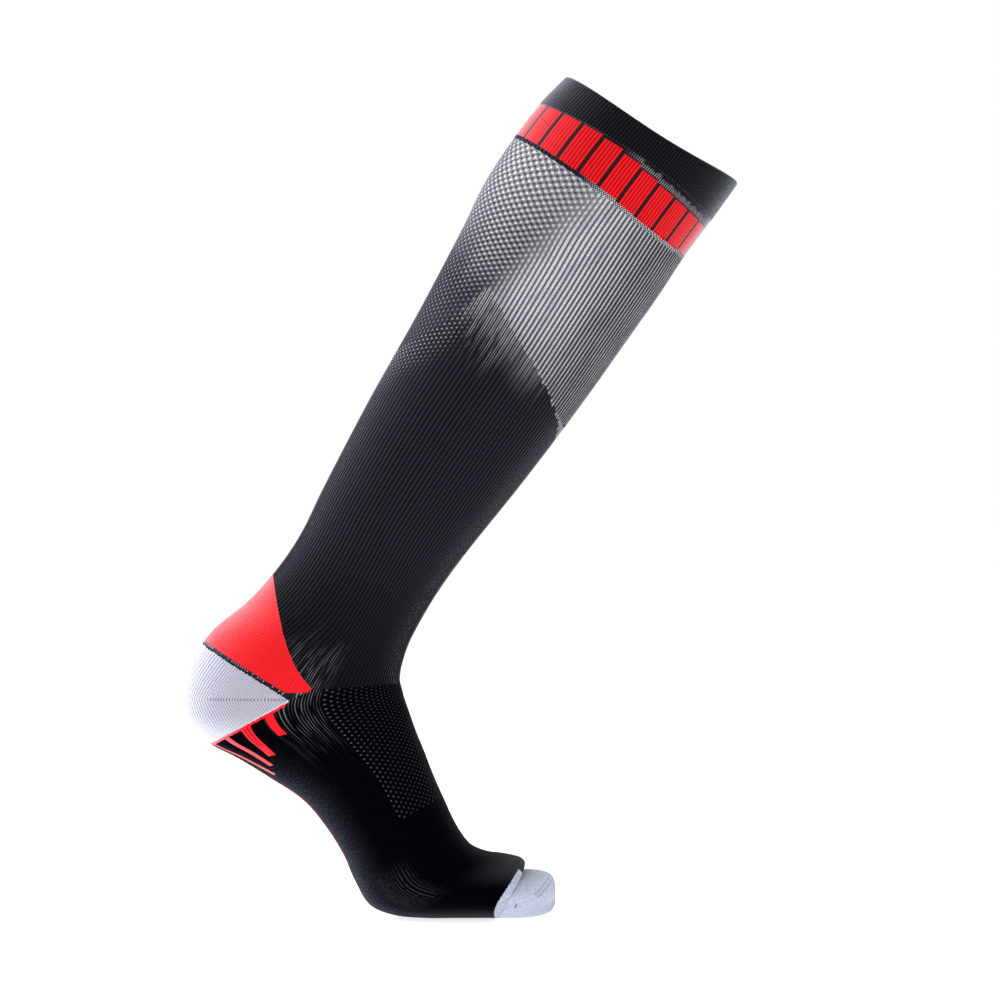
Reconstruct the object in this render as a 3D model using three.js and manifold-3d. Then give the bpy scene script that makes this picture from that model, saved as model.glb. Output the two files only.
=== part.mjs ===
// A knee-high compression stocking, hollow and filled out as on a leg that stands on tiptoe.
// Millimetres, +Z up, toes towards +X, the two sides of the foot towards -Y and +Y.
// The origin is the middle of the cuff opening, where the wearer's leg holds the stocking.

import * as THREE from 'three';
import { mergeVertices } from 'three/addons/utils/BufferGeometryUtils.js';
import Module from 'manifold-3d';

const wasm = await Module();
wasm.setup();

// Knit
const RIBS = 120; // raised ribs round the leg, from the block band to the ankle line
const RIB_HEIGHT = 0.4; // ridge above groove
const WALL = 1.5; // one layer of cloth, under a groove
const WELT_WALL = 2.4; // the cuff is folded double
const WELT_PROUD = 0.3; // how far the doubled cuff stands out
const CUFF_DIP = 4.8; // how much lower the cuff's edge runs at the sides than at the back and the front
const BAND_RISE = 2.8; // how much higher the block band reaches at the sides
const SEAM_GAP = 0.3; // between two pieces
const BACK_SPREAD = 0.1; // how the ribs crowd where a section's bunch is 1: wider at the back than at the front,
const SIDE_CROWD = 0.06; // and narrower at the sides than at either

// Mesh fineness
const PLAIN_AROUND = 60;
const FOOT_AROUND = 56;
const INSIDE_AROUND = 48;

// The form: one row for each section across the tube, from the cuff edge to the toe seam.
// back and front are the section's two ends in the plane of symmetry, half is its half width,
// widest is how far from back to front it is widest, the powers square its two halves off,
// and bunch is how far the ribs are spread at the back and closer together at the sides.
const COLUMNS = ['backX', 'backZ', 'frontX', 'frontZ', 'half', 'widest', 'backPower', 'frontPower', 'bunch'];
const SECTIONS = {
  cuffEdge: [-46.3, 34.1, 51.0, -26.2, 53.0, 0.5, 2.0, 2.0, 1],
  weltFoot: [-61.6, 18.5, 35.9, -47.3, 54.0, 0.5, 2.0, 2.0, 1],
  bandFoot: [-75.2, 1.1, 20.5, -68.4, 54.5, 0.5, 2.0, 2.0, 1],
  calfTop: [-92.6, -25.1, 7.1, -88.9, 55.0, 0.49, 2.0, 2.05, 1],
  calf: [-105.8, -52.0, -8.2, -110.7, 53.5, 0.49, 2.0, 2.05, 1],
  calfLow: [-131.4, -100.7, -39.0, -154.0, 50.5, 0.5, 2.0, 2.05, 0.8],
  shin: [-158.8, -149.5, -70.9, -196.2, 46.5, 0.51, 2.0, 2.05, 0.5],
  shinLow: [-185.0, -199.7, -104.0, -237.5, 40.5, 0.53, 1.95, 2.1, 0.2],
  ankleTop: [-198.4, -226.9, -118.3, -257.1, 36.8, 0.55, 1.9, 2.1, 0],
  ankle: [-212.0, -246.8, -127.7, -272.3, 34.6, 0.57, 1.9, 2.1, 0],
  tendon: [-228.3, -264.8, -135.9, -287.8, 34.0, 0.58, 1.95, 2.1, 0],
  heelTop: [-248.5, -281.6, -140.2, -300.4, 33.8, 0.57, 2.1, 2.1, 0],
  heelBack: [-259.3, -298.1, -141.4, -307.2, 33.6, 0.55, 2.3, 2.1, 0],
  heelUpper: [-263.6, -310.1, -141.4, -309.8, 33.5, 0.53, 2.4, 2.1, 0],
  heelPoint: [-264.5, -322.0, -141.1, -311.8, 33.4, 0.5, 2.45, 2.1, 0],
  heelLower: [-261.6, -333.4, -140.2, -314.6, 33.2, 0.47, 2.5, 2.1, 0],
  heelUnder: [-251.4, -344.3, -139.1, -319.2, 33.0, 0.45, 2.55, 2.1, 0],
  soleBack: [-233.7, -353.7, -136.5, -326.6, 33.0, 0.43, 2.6, 2.1, 0],
  archBack: [-213.2, -366.2, -132.5, -338.0, 33.8, 0.42, 2.6, 2.1, 0],
  arch: [-196.1, -377.9, -127.4, -350.5, 35.2, 0.42, 2.6, 2.1, 0],
  archFront: [-183.5, -392.7, -122.3, -363.7, 37.2, 0.42, 2.6, 2.1, 0],
  instep: [-173.8, -408.1, -116.0, -377.9, 39.6, 0.42, 2.6, 2.15, 0],
  ballBack: [-166.7, -423.5, -109.2, -392.2, 42.0, 0.42, 2.6, 2.2, 0],
  ball: [-158.5, -436.6, -101.5, -402.7, 44.2, 0.42, 2.7, 2.2, 0],
  ballFloor: [-144.8, -442.0, -92.3, -407.0, 46.0, 0.42, 2.9, 2.25, 0],
  forefoot: [-127.1, -443.5, -83.2, -408.4, 47.0, 0.43, 3.0, 2.3, 0],
  toeRoot: [-108.3, -443.5, -76.4, -409.8, 46.8, 0.44, 3.0, 2.4, 0],
  vampEnd: [-94.6, -443.5, -72.1, -411.3, 46.0, 0.45, 3.0, 2.4, 0],
  vampLip: [-88.3, -443.5, -70.1, -414.1, 45.2, 0.45, 3.0, 2.4, 0],
  toeSeam: [-85.8, -443.5, -72.7, -418.1, 44.6, 0.46, 3.0, 2.4, 0],
};
const NAMES = Object.keys(SECTIONS);
const ROWS = NAMES.map((name) => Object.fromEntries(COLUMNS.map((column, i) => [column, SECTIONS[name][i]])));

// Past the toe seam the sections close on the tip, blunt from above and squarer from the side.
const TOE_LENGTH = 26.5;
const TOE_TOP_POWER = 2.4;
const TOE_SIDE_POWER = 4.0;
const TOE_STEPS = [0, 0.3, 0.55, 0.75, 0.88, 0.96];

// Where the pieces meet, as (x, z) points of lines seen from the side, drawn past the cloth at both ends
const HEEL_CORNER = [-202.4, -318.9];
const CALF_EDGE = [
  [-180, -139], [-117.2, -108.9], [-105.6, -99.4], [-91, -88],
  [-72.3, -114.8], [-62.5, -132.3], [-52.2, -157.2], [10, -290],
];
const HEEL_TOP_EDGE = [[-290, -265.3], HEEL_CORNER];
const HEEL_UNDER_EDGE = [[-290, -366.6], HEEL_CORNER];
const PATCH_TIP = [-189.6, -313.8];
const ANKLE_EDGE = [HEEL_CORNER, PATCH_TIP, [-141.4, -310.9], [-115, -307.4]];
const PATCH_EDGE = [
  [-216, -240], [-213, -251.9], [-210.6, -264], [-206.8, -281], [-203.5, -291.6], [-199.6, -300.6], [-194.6, -308.2],
  PATCH_TIP,
];
const REACH = { left: -290, right: 60, top: 60, bottom: -470, side: 80 };

// Distances along the tube, halfway between those of its back and of its front
const ALONG = [0];
for (let i = 1; i < ROWS.length; i += 1) {
  const a = ROWS[i - 1];
  const b = ROWS[i];
  const backStep = Math.hypot(b.backX - a.backX, b.backZ - a.backZ);
  const frontStep = Math.hypot(b.frontX - a.frontX, b.frontZ - a.frontZ);
  ALONG.push(ALONG[i - 1] + (backStep + frontStep) / 2);
}
const at = (name) => ALONG[NAMES.indexOf(name)];
const TOE_SEAM = at('toeSeam');
const TOE_TIP = TOE_SEAM + TOE_LENGTH;

// The slope of one column at row i, from the rows beside it
function slope(column, i) {
  const before = Math.max(i - 1, 0);
  const after = Math.min(i + 1, ROWS.length - 1);
  return (ROWS[after][column] - ROWS[before][column]) / (ALONG[after] - ALONG[before]);
}

// The section at a distance along the tube: a smooth curve through each column
function sectionAt(along) {
  const distance = Math.min(along, TOE_SEAM);
  let i = 0;
  while (i < ROWS.length - 2 && ALONG[i + 1] < distance) {
    i += 1;
  }
  const span = ALONG[i + 1] - ALONG[i];
  const t = (distance - ALONG[i]) / span;
  const section = {};
  for (const column of COLUMNS) {
    const start = ROWS[i][column];
    const end = ROWS[i + 1][column];
    section[column] = start * (1 + 2 * t) * (1 - t) ** 2 + end * t * t * (3 - 2 * t)
      + span * t * (1 - t) * (slope(column, i) * (1 - t) - slope(column, i + 1) * t);
  }
  return along > TOE_SEAM ? toeSection(section, (along - TOE_SEAM) / TOE_LENGTH) : section;
}

// A section of the toe pocket, from the seam's section, at 0 on the seam and 1 on the tip
function toeSection(seam, s) {
  const part = Math.min(s, 1);
  const rise = (1 - part ** TOE_SIDE_POWER) ** (1 / TOE_SIDE_POWER);
  const width = (1 - part ** TOE_TOP_POWER) ** (1 / TOE_TOP_POWER);
  const midX = (seam.backX + seam.frontX) / 2 + TOE_LENGTH * s;
  const midZ = (seam.backZ + seam.frontZ) / 2;
  const leanX = ((seam.frontX - seam.backX) / 2) * rise * (1 - part);
  const leanZ = ((seam.frontZ - seam.backZ) / 2) * rise;
  return {
    ...seam,
    backX: midX - leanX,
    backZ: midZ - leanZ,
    frontX: midX + leanX,
    frontZ: midZ + leanZ,
    half: seam.half * width,
  };
}

// A point of the outer surface: turn is 0 at the back or sole, a half at the front or instep
function surfacePoint(along, turn) {
  const s = sectionAt(along);
  const even = turn * 2 * Math.PI;
  const angle = even + s.bunch * (BACK_SPREAD * Math.sin(even) + SIDE_CROWD * Math.sin(2 * even));
  const c = Math.cos(angle);
  const power = 2 / (c > 0 ? s.backPower : s.frontPower);
  const reach = c > 0 ? -s.widest : 1 - s.widest;
  const share = s.widest + reach * Math.abs(c) ** power;
  const y = s.half * Math.sign(Math.sin(angle)) * Math.abs(Math.sin(angle)) ** power;
  return new THREE.Vector3(
    s.backX + (s.frontX - s.backX) * share,
    -y,
    s.backZ + (s.frontZ - s.backZ) * share,
  );
}

// The surface's outward direction, from points close by
function outward(along, turn) {
  const step = 0.6;
  const twist = 0.004;
  const near = Math.min(along, TOE_TIP - 2 * step);
  const down = surfacePoint(near + step, turn).sub(surfacePoint(near - step, turn));
  const round = surfacePoint(near, turn + twist).sub(surfacePoint(near, turn - twist));
  return down.cross(round).normalize();
}

// One ring of a wall: points moved off the surface by lift, every second one sunk into a groove where it is ribbed.
// At the sides of the leg it is moved down the tube by bow.
function ring(along, around, lift = 0, groove = 0, bow = 0) {
  const points = [];
  for (let i = 0; i < around; i += 1) {
    const turn = i / around;
    const distance = along + bow * Math.sin(2 * Math.PI * turn) ** 2;
    const sink = groove * (i % 2);
    points.push(surfacePoint(distance, turn).addScaledVector(outward(distance, turn), lift - sink));
  }
  return points;
}

// The triangles between two closed rings of any counts. A ring of one point is a pole.
function zip(a, b, faces) {
  const stepsA = a.count > 1 ? a.count : 0;
  const stepsB = b.count > 1 ? b.count : 0;
  let i = 0;
  let j = 0;
  while (i < stepsA || j < stepsB) {
    const pa = a.start + (i % a.count);
    const pb = b.start + (j % b.count);
    const nextA = i < stepsA ? (i + 1) / a.count : Infinity;
    const nextB = j < stepsB ? (j + 1) / b.count : Infinity;
    if (nextA <= nextB) {
      faces.push(pa, pb, a.start + ((i + 1) % a.count));
      i += 1;
    } else {
      faces.push(pa, pb, b.start + ((j + 1) % b.count));
      j += 1;
    }
  }
}

// A closed wall from rings that run down its outside and back up its inside
function wall(rings) {
  const positions = [];
  const spans = [];
  const faces = [];
  for (const points of rings) {
    spans.push({ start: positions.length / 3, count: points.length });
    points.forEach((p) => positions.push(p.x, p.y, p.z));
  }
  spans.forEach((span, i) => zip(span, spans[(i + 1) % spans.length], faces));
  const geometry = new THREE.BufferGeometry();
  geometry.setAttribute('position', new THREE.Float32BufferAttribute(positions, 3));
  geometry.setIndex(faces);
  return solid(geometry);
}

// A mesh as a solid that can be cut and joined
function solid(geometry) {
  geometry.deleteAttribute('normal');
  geometry.deleteAttribute('uv');
  const merged = mergeVertices(geometry, 1e-4);
  return new wasm.Manifold(new wasm.Mesh({
    numProp: 3,
    vertProperties: new Float32Array(merged.attributes.position.array),
    triVerts: new Uint32Array(merged.index.array),
  }));
}

// A wall between two distances, with its own rings outside and inside
function tube(outside, inside, around, groove = 0) {
  const outer = outside.map((along) => ring(along, around, 0, groove));
  const inner = inside.map((along) => ring(along, INSIDE_AROUND, -WALL - groove)).reverse();
  return wall([...outer, ...inner]);
}

// An outline in the side view, drawn through the whole width
function prism(points) {
  const shape = new THREE.Shape(points.map(([x, z]) => new THREE.Vector2(x, z)));
  const geometry = new THREE.ExtrudeGeometry(shape, { depth: 2 * REACH.side, bevelEnabled: false });
  geometry.rotateX(Math.PI / 2);
  geometry.translate(0, REACH.side, 0);
  return solid(geometry);
}

// A gap as wide as a seam along a line in the side view
function seam(line) {
  const cuts = [];
  for (let i = 1; i < line.length; i += 1) {
    const from = new THREE.Vector2(...line[i - 1]);
    const to = new THREE.Vector2(...line[i]);
    const half = to.clone().sub(from).normalize().multiplyScalar(SEAM_GAP / 2);
    const side = new THREE.Vector2(-half.y, half.x);
    from.sub(half);
    to.add(half);
    cuts.push(prism([
      [from.x + side.x, from.y + side.y], [from.x - side.x, from.y - side.y],
      [to.x - side.x, to.y - side.y], [to.x + side.x, to.y + side.y],
    ]));
  }
  return cuts.reduce((all, cut) => all.add(cut));
}

// The cuff: a band folded double, its fold rounded over at the edge
function weltSolid() {
  const foot = at('weltFoot') - SEAM_GAP / 2;
  const bulge = (WELT_WALL + WELT_PROUD) / 2;
  const middle = WELT_PROUD - bulge;
  const outer = [];
  const fold = [];
  const inner = [];
  const rows = 2;
  for (let i = 0; i <= rows; i += 1) {
    const along = bulge + ((foot - bulge) * i) / rows;
    const bow = CUFF_DIP - ((CUFF_DIP + BAND_RISE) * i) / rows;
    outer.push(ring(along, PLAIN_AROUND, WELT_PROUD, 0, bow));
    inner.push(ring(along, INSIDE_AROUND, -WELT_WALL, 0, bow));
  }
  const turns = 4;
  for (let i = 1; i < turns; i += 1) {
    const angle = (Math.PI * i) / turns;
    const lift = middle - bulge * Math.cos(angle);
    fold.push(ring(bulge - bulge * Math.sin(angle), PLAIN_AROUND, lift, 0, CUFF_DIP));
  }
  return wall([...fold, ...outer, ...inner.reverse()]);
}

// The band of blocks under the cuff
function bandSolid() {
  const from = at('weltFoot') + SEAM_GAP / 2;
  const to = at('bandFoot') - SEAM_GAP / 2;
  return wall([
    ring(from, PLAIN_AROUND, 0, 0, -BAND_RISE),
    ring(to, PLAIN_AROUND),
    ring(to, INSIDE_AROUND, -WALL),
    ring(from, INSIDE_AROUND, -WALL, 0, -BAND_RISE),
  ]);
}

// The foot from the ankle to the toe seam, with the lip of its upper over the toe pocket
function footSolid() {
  const body = ['heelUpper', 'heelPoint', 'heelLower', 'heelUnder', 'soleBack', 'archBack', 'arch',
    'archFront', 'instep', 'ballBack', 'ball', 'ballFloor', 'forefoot', 'toeRoot', 'vampEnd'].map(at);
  const seamEnd = TOE_SEAM - SEAM_GAP / 2;
  return tube([...body, at('vampLip'), seamEnd], [...body, seamEnd], FOOT_AROUND);
}

// The toe pocket, a closed cap
function toeSolid() {
  const start = TOE_SEAM + SEAM_GAP / 2;
  const outside = TOE_STEPS.map((share) => start + (TOE_TIP - start) * share);
  const inside = outside.slice(0, -1);
  const tip = surfacePoint(TOE_TIP, 0);
  const innerTip = tip.clone().add(new THREE.Vector3(-WALL, 0, 0));
  return wall([
    ...outside.map((along) => ring(along, FOOT_AROUND)),
    [tip],
    [innerTip],
    ...inside.map((along) => ring(along, INSIDE_AROUND, -WALL)).reverse(),
  ]);
}

// The ribbed leg, before the calf, the lower leg and the patch are parted
function legSolid() {
  const from = at('bandFoot') + SEAM_GAP / 2;
  const rows = ['calfTop', 'calf', 'calfLow', 'shin', 'shinLow', 'ankleTop', 'ankle', 'tendon', 'heelTop',
    'heelPoint', 'heelLower'].map(at);
  return tube([from, ...rows], [from, ...rows], 2 * RIBS, RIB_HEIGHT);
}

// The same stretch without ribs, for the smooth patch on the tendon and the heel pocket
function heelSolid() {
  const rows = ['ankleTop', 'ankle', 'tendon', 'heelTop', 'heelBack', 'heelUpper', 'heelPoint', 'heelLower',
    'heelUnder', 'soleBack', 'archBack'].map(at);
  return tube(rows, rows, FOOT_AROUND);
}

const welt = weltSolid();
const band = bandSolid();
const leg = legSolid();
const heel = heelSolid();
const foot = footSolid();
const toe = toeSolid();

const calfEdgeUp = [...CALF_EDGE].reverse();
const calfRegion = prism([...calfEdgeUp, [REACH.left, REACH.top], [REACH.right, REACH.top]]);
const lowerLegRegion = prism([...CALF_EDGE, ...ANKLE_EDGE.slice(1).reverse(), ...PATCH_EDGE.slice(0, -1).reverse()]);
const patchRegion = prism([...PATCH_EDGE, HEEL_CORNER, HEEL_TOP_EDGE[0], [REACH.left, PATCH_EDGE[0][1]]]);
const heelRegion = prism([HEEL_TOP_EDGE[0], HEEL_UNDER_EDGE[0], HEEL_CORNER]);
const footRegion = prism([
  ...ANKLE_EDGE, [REACH.right, REACH.bottom], [REACH.left, REACH.bottom], HEEL_UNDER_EDGE[0],
]);
const seams = [CALF_EDGE, HEEL_TOP_EDGE, HEEL_UNDER_EDGE, ANKLE_EDGE, PATCH_EDGE].map(seam).reduce((a, b) => a.add(b));

const PIECES = [
  ['welt', welt, 0x16161b, 0.85],
  ['block_band', band, 0xd8202a, 0.8],
  ['calf', leg.intersect(calfRegion).subtract(seams), 0x9a9aa2, 0.85],
  ['lower_leg', leg.intersect(lowerLegRegion).subtract(seams), 0x1e1e26, 0.85],
  ['tendon_patch', heel.intersect(patchRegion).subtract(seams), 0xf02a32, 0.8],
  ['heel_pocket', heel.intersect(heelRegion).subtract(seams), 0xcdcfde, 0.85],
  ['foot', foot.intersect(footRegion).subtract(seams), 0x0c0d12, 0.85],
  ['toe_pocket', toe, 0xc4c8d8, 0.85],
];

const group = new THREE.Group();
for (const [name, body, colour, roughness] of PIECES) {
  const { vertProperties, triVerts } = body.getMesh();
  const geometry = new THREE.BufferGeometry();
  geometry.setAttribute('position', new THREE.BufferAttribute(vertProperties, 3));
  geometry.setIndex(new THREE.BufferAttribute(triVerts, 1));
  geometry.computeVertexNormals();
  const material = new THREE.MeshStandardMaterial({ color: colour, roughness, metalness: 0 });
  const mesh = new THREE.Mesh(geometry, material);
  mesh.name = name;
  group.add(mesh);
}

export default group;
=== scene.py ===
# The looks of a knee-high compression stocking, filled out as worn on tiptoe.
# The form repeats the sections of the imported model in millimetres, turned to metres when a mesh is made.

import math

import bpy
import numpy as np
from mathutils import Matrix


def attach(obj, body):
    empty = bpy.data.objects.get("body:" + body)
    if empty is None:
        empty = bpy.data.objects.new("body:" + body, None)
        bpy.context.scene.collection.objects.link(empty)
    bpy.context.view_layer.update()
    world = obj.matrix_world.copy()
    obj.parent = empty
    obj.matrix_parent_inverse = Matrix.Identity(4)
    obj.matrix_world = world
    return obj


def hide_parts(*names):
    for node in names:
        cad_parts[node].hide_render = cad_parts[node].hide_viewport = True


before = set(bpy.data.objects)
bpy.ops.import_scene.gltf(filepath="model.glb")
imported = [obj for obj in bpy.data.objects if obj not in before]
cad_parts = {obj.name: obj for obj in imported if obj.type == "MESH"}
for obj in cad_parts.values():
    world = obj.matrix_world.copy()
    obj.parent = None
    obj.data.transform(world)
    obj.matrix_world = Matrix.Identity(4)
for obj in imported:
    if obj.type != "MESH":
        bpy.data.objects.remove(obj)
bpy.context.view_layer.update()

MM = 0.001

# Camera: straight from the side, where the field at the stocking is this wide
FIELD = 0.570
DISTANCE = 2.4
VIEW_CENTRE = (-0.0844, -0.2069)
SENSOR = 36
FLOOR = -0.4435

# Knit
RIBS = 120
WALES = 2 * RIBS
RIB_HEIGHT = 0.4
RIB_ROUND = 0.7  # under 1 the ridges are broad and the grooves narrow
FINE_HEIGHT = 0.12
WALL = 1.5
WELT_WALL = 2.4
WELT_PROUD = 0.3
CUFF_DIP = 4.8
BAND_RISE = 2.8
BACK_SPREAD = 0.1
SIDE_CROWD = 0.06
BLOCKS = 24
BLOCK_WALES = 7
FIRST_BLOCK = 2  # the fine wale where the first block begins
FINE_WALES = BLOCKS * BLOCK_WALES / WALES  # fine wales in one wale

# Rows of stitches in a millimetre
LEG_ROWS = 0.8
PATCH_ROWS = 0.85
FOOT_ROWS = 0.9

# One row for each section across the tube, from the cuff edge to the toe seam
COLUMNS = "back_x back_z front_x front_z half widest back_power front_power bunch".split()
SECTIONS = {
    "cuff_edge": (-46.3, 34.1, 51.0, -26.2, 53.0, 0.5, 2.0, 2.0, 1.0),
    "welt_foot": (-61.6, 18.5, 35.9, -47.3, 54.0, 0.5, 2.0, 2.0, 1.0),
    "band_foot": (-75.2, 1.1, 20.5, -68.4, 54.5, 0.5, 2.0, 2.0, 1.0),
    "calf_top": (-92.6, -25.1, 7.1, -88.9, 55.0, 0.49, 2.0, 2.05, 1.0),
    "calf": (-105.8, -52.0, -8.2, -110.7, 53.5, 0.49, 2.0, 2.05, 1.0),
    "calf_low": (-131.4, -100.7, -39.0, -154.0, 50.5, 0.5, 2.0, 2.05, 0.8),
    "shin": (-158.8, -149.5, -70.9, -196.2, 46.5, 0.51, 2.0, 2.05, 0.5),
    "shin_low": (-185.0, -199.7, -104.0, -237.5, 40.5, 0.53, 1.95, 2.1, 0.2),
    "ankle_top": (-198.4, -226.9, -118.3, -257.1, 36.8, 0.55, 1.9, 2.1, 0.0),
    "ankle": (-212.0, -246.8, -127.7, -272.3, 34.6, 0.57, 1.9, 2.1, 0.0),
    "tendon": (-228.3, -264.8, -135.9, -287.8, 34.0, 0.58, 1.95, 2.1, 0.0),
    "heel_top": (-248.5, -281.6, -140.2, -300.4, 33.8, 0.57, 2.1, 2.1, 0.0),
    "heel_back": (-259.3, -298.1, -141.4, -307.2, 33.6, 0.55, 2.3, 2.1, 0.0),
    "heel_upper": (-263.6, -310.1, -141.4, -309.8, 33.5, 0.53, 2.4, 2.1, 0.0),
    "heel_point": (-264.5, -322.0, -141.1, -311.8, 33.4, 0.5, 2.45, 2.1, 0.0),
    "heel_lower": (-261.6, -333.4, -140.2, -314.6, 33.2, 0.47, 2.5, 2.1, 0.0),
    "heel_under": (-251.4, -344.3, -139.1, -319.2, 33.0, 0.45, 2.55, 2.1, 0.0),
    "sole_back": (-233.7, -353.7, -136.5, -326.6, 33.0, 0.43, 2.6, 2.1, 0.0),
    "arch_back": (-213.2, -366.2, -132.5, -338.0, 33.8, 0.42, 2.6, 2.1, 0.0),
    "arch": (-196.1, -377.9, -127.4, -350.5, 35.2, 0.42, 2.6, 2.1, 0.0),
    "arch_front": (-183.5, -392.7, -122.3, -363.7, 37.2, 0.42, 2.6, 2.1, 0.0),
    "instep": (-173.8, -408.1, -116.0, -377.9, 39.6, 0.42, 2.6, 2.15, 0.0),
    "ball_back": (-166.7, -423.5, -109.2, -392.2, 42.0, 0.42, 2.6, 2.2, 0.0),
    "ball": (-158.5, -436.6, -101.5, -402.7, 44.2, 0.42, 2.7, 2.2, 0.0),
    "ball_floor": (-144.8, -442.0, -92.3, -407.0, 46.0, 0.42, 2.9, 2.25, 0.0),
    "forefoot": (-127.1, -443.5, -83.2, -408.4, 47.0, 0.43, 3.0, 2.3, 0.0),
    "toe_root": (-108.3, -443.5, -76.4, -409.8, 46.8, 0.44, 3.0, 2.4, 0.0),
    "vamp_end": (-94.6, -443.5, -72.1, -411.3, 46.0, 0.45, 3.0, 2.4, 0.0),
    "vamp_lip": (-88.3, -443.5, -70.1, -414.1, 45.2, 0.45, 3.0, 2.4, 0.0),
    "toe_seam": (-85.8, -443.5, -72.7, -418.1, 44.6, 0.46, 3.0, 2.4, 0.0),
}
NAMES = list(SECTIONS)
TABLE = np.array([SECTIONS[name] for name in NAMES])
TOE_LENGTH = 26.5
TOE_TOP_POWER = 2.4
TOE_SIDE_POWER = 4.0

# Lines between the pieces in the side view, as (x, z) points drawn past the cloth at both ends
HEEL_CORNER = (-202.4, -318.9)
CALF_EDGE = [(-180, -139), (-117.2, -108.9), (-105.6, -99.4), (-91, -88),
             (-72.3, -114.8), (-62.5, -132.3), (-52.2, -157.2), (10, -290)]
HEEL_TOP_END = (-290, -265.3)
HEEL_UNDER_END = (-290, -366.6)
PATCH_TIP = (-189.6, -313.8)
ANKLE_EDGE = [HEEL_CORNER, PATCH_TIP, (-141.4, -310.9), (-115, -307.4)]
PATCH_EDGE = [(-216, -240), (-213, -251.9), (-210.6, -264), (-206.8, -281),
              (-203.5, -291.6), (-199.6, -300.6), (-194.6, -308.2), PATCH_TIP]
LEFT, RIGHT, TOP, BOTTOM = -290, 60, 60, -470
MITRE_Z = -319.3  # the fold line that the two halves of the heel meet on


# The form

def travel():
    """Distances along the tube, halfway between those of its back and of its front."""
    moves = np.diff(TABLE[:, :4], axis=0)
    back = np.hypot(moves[:, 0], moves[:, 1])
    front = np.hypot(moves[:, 2], moves[:, 3])
    return np.concatenate([[0], np.cumsum((back + front) / 2)])


ALONG = travel()


def at(name):
    return ALONG[NAMES.index(name)]


TOE_SEAM = at("toe_seam")
TOE_TIP = TOE_SEAM + TOE_LENGTH


def slopes():
    """The slope of every column at every row, from the rows beside it."""
    out = np.empty_like(TABLE)
    out[1:-1] = (TABLE[2:] - TABLE[:-2]) / (ALONG[2:] - ALONG[:-2])[:, None]
    out[0] = (TABLE[1] - TABLE[0]) / (ALONG[1] - ALONG[0])
    out[-1] = (TABLE[-1] - TABLE[-2]) / (ALONG[-1] - ALONG[-2])
    return out


SLOPES = slopes()


def sections_at(along):
    """The sections at these distances, as a smooth curve through each column, closing on the toe."""
    distance = np.clip(along, None, TOE_SEAM)
    i = np.clip(np.searchsorted(ALONG, distance, side="left") - 1, 0, len(ALONG) - 2)
    span = (ALONG[i + 1] - ALONG[i])[:, None]
    t = (distance - ALONG[i])[:, None] / span
    rows = (TABLE[i] * (1 + 2 * t) * (1 - t) ** 2 + TABLE[i + 1] * t * t * (3 - 2 * t)
            + span * t * (1 - t) * (SLOPES[i] * (1 - t) - SLOPES[i + 1] * t))
    s = dict(zip(COLUMNS, rows.T))
    share = np.clip((along - TOE_SEAM) / TOE_LENGTH, 0, None)
    part = np.minimum(share, 1)
    rise = (1 - part ** TOE_SIDE_POWER) ** (1 / TOE_SIDE_POWER)
    width = (1 - part ** TOE_TOP_POWER) ** (1 / TOE_TOP_POWER)
    mid_x = (s["back_x"] + s["front_x"]) / 2 + TOE_LENGTH * share
    mid_z = (s["back_z"] + s["front_z"]) / 2
    lean_x = (s["front_x"] - s["back_x"]) / 2 * rise * (1 - part)
    lean_z = (s["front_z"] - s["back_z"]) / 2 * rise
    s["back_x"], s["front_x"] = mid_x - lean_x, mid_x + lean_x
    s["back_z"], s["front_z"] = mid_z - lean_z, mid_z + lean_z
    s["half"] = s["half"] * width
    return s


def surface(along, turn):
    """Points of the outer surface: turn is 0 at the back or sole, a half at the front or instep."""
    s = sections_at(along)
    even = 2 * np.pi * turn
    angle = even + s["bunch"] * (BACK_SPREAD * np.sin(even) + SIDE_CROWD * np.sin(2 * even))
    c, sn = np.cos(angle), np.sin(angle)
    power = 2 / np.where(c > 0, s["back_power"], s["front_power"])
    reach = np.where(c > 0, -s["widest"], 1 - s["widest"])
    share = s["widest"] + reach * np.abs(c) ** power
    y = s["half"] * np.sign(sn) * np.abs(sn) ** power
    x = s["back_x"] + (s["front_x"] - s["back_x"]) * share
    z = s["back_z"] + (s["front_z"] - s["back_z"]) * share
    return np.stack([x, -y, z], axis=1)


def outward(along, turn):
    """The surface's outward directions, from points close by."""
    step, twist = 0.6, 0.004
    near = np.minimum(along, TOE_TIP - 2 * step)
    down = surface(near + step, turn) - surface(near - step, turn)
    around = surface(near, turn + twist) - surface(near, turn - twist)
    n = np.cross(down, around)
    return n / np.linalg.norm(n, axis=1)[:, None]


def inside_by(x, z, polygon):
    """How far points of the side view lie inside a polygon, negative outside it."""
    inside = np.zeros(len(x), bool)
    nearest = np.full(len(x), 1e9)
    for (ax, az), (bx, bz) in zip(polygon, polygon[1:] + polygon[:1]):
        dx, dz = bx - ax, bz - az
        t = np.clip(((x - ax) * dx + (z - az) * dz) / (dx * dx + dz * dz), 0, 1)
        nearest = np.minimum(nearest, np.hypot(x - ax - t * dx, z - az - t * dz))
        if dz:
            crosses = (az > z) != (bz > z)
            inside ^= crosses & (x < ax + (z - az) * dx / dz)
    return np.where(inside, nearest, -nearest)


# Meshes

SHARP_EDGE = math.radians(60)


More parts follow.
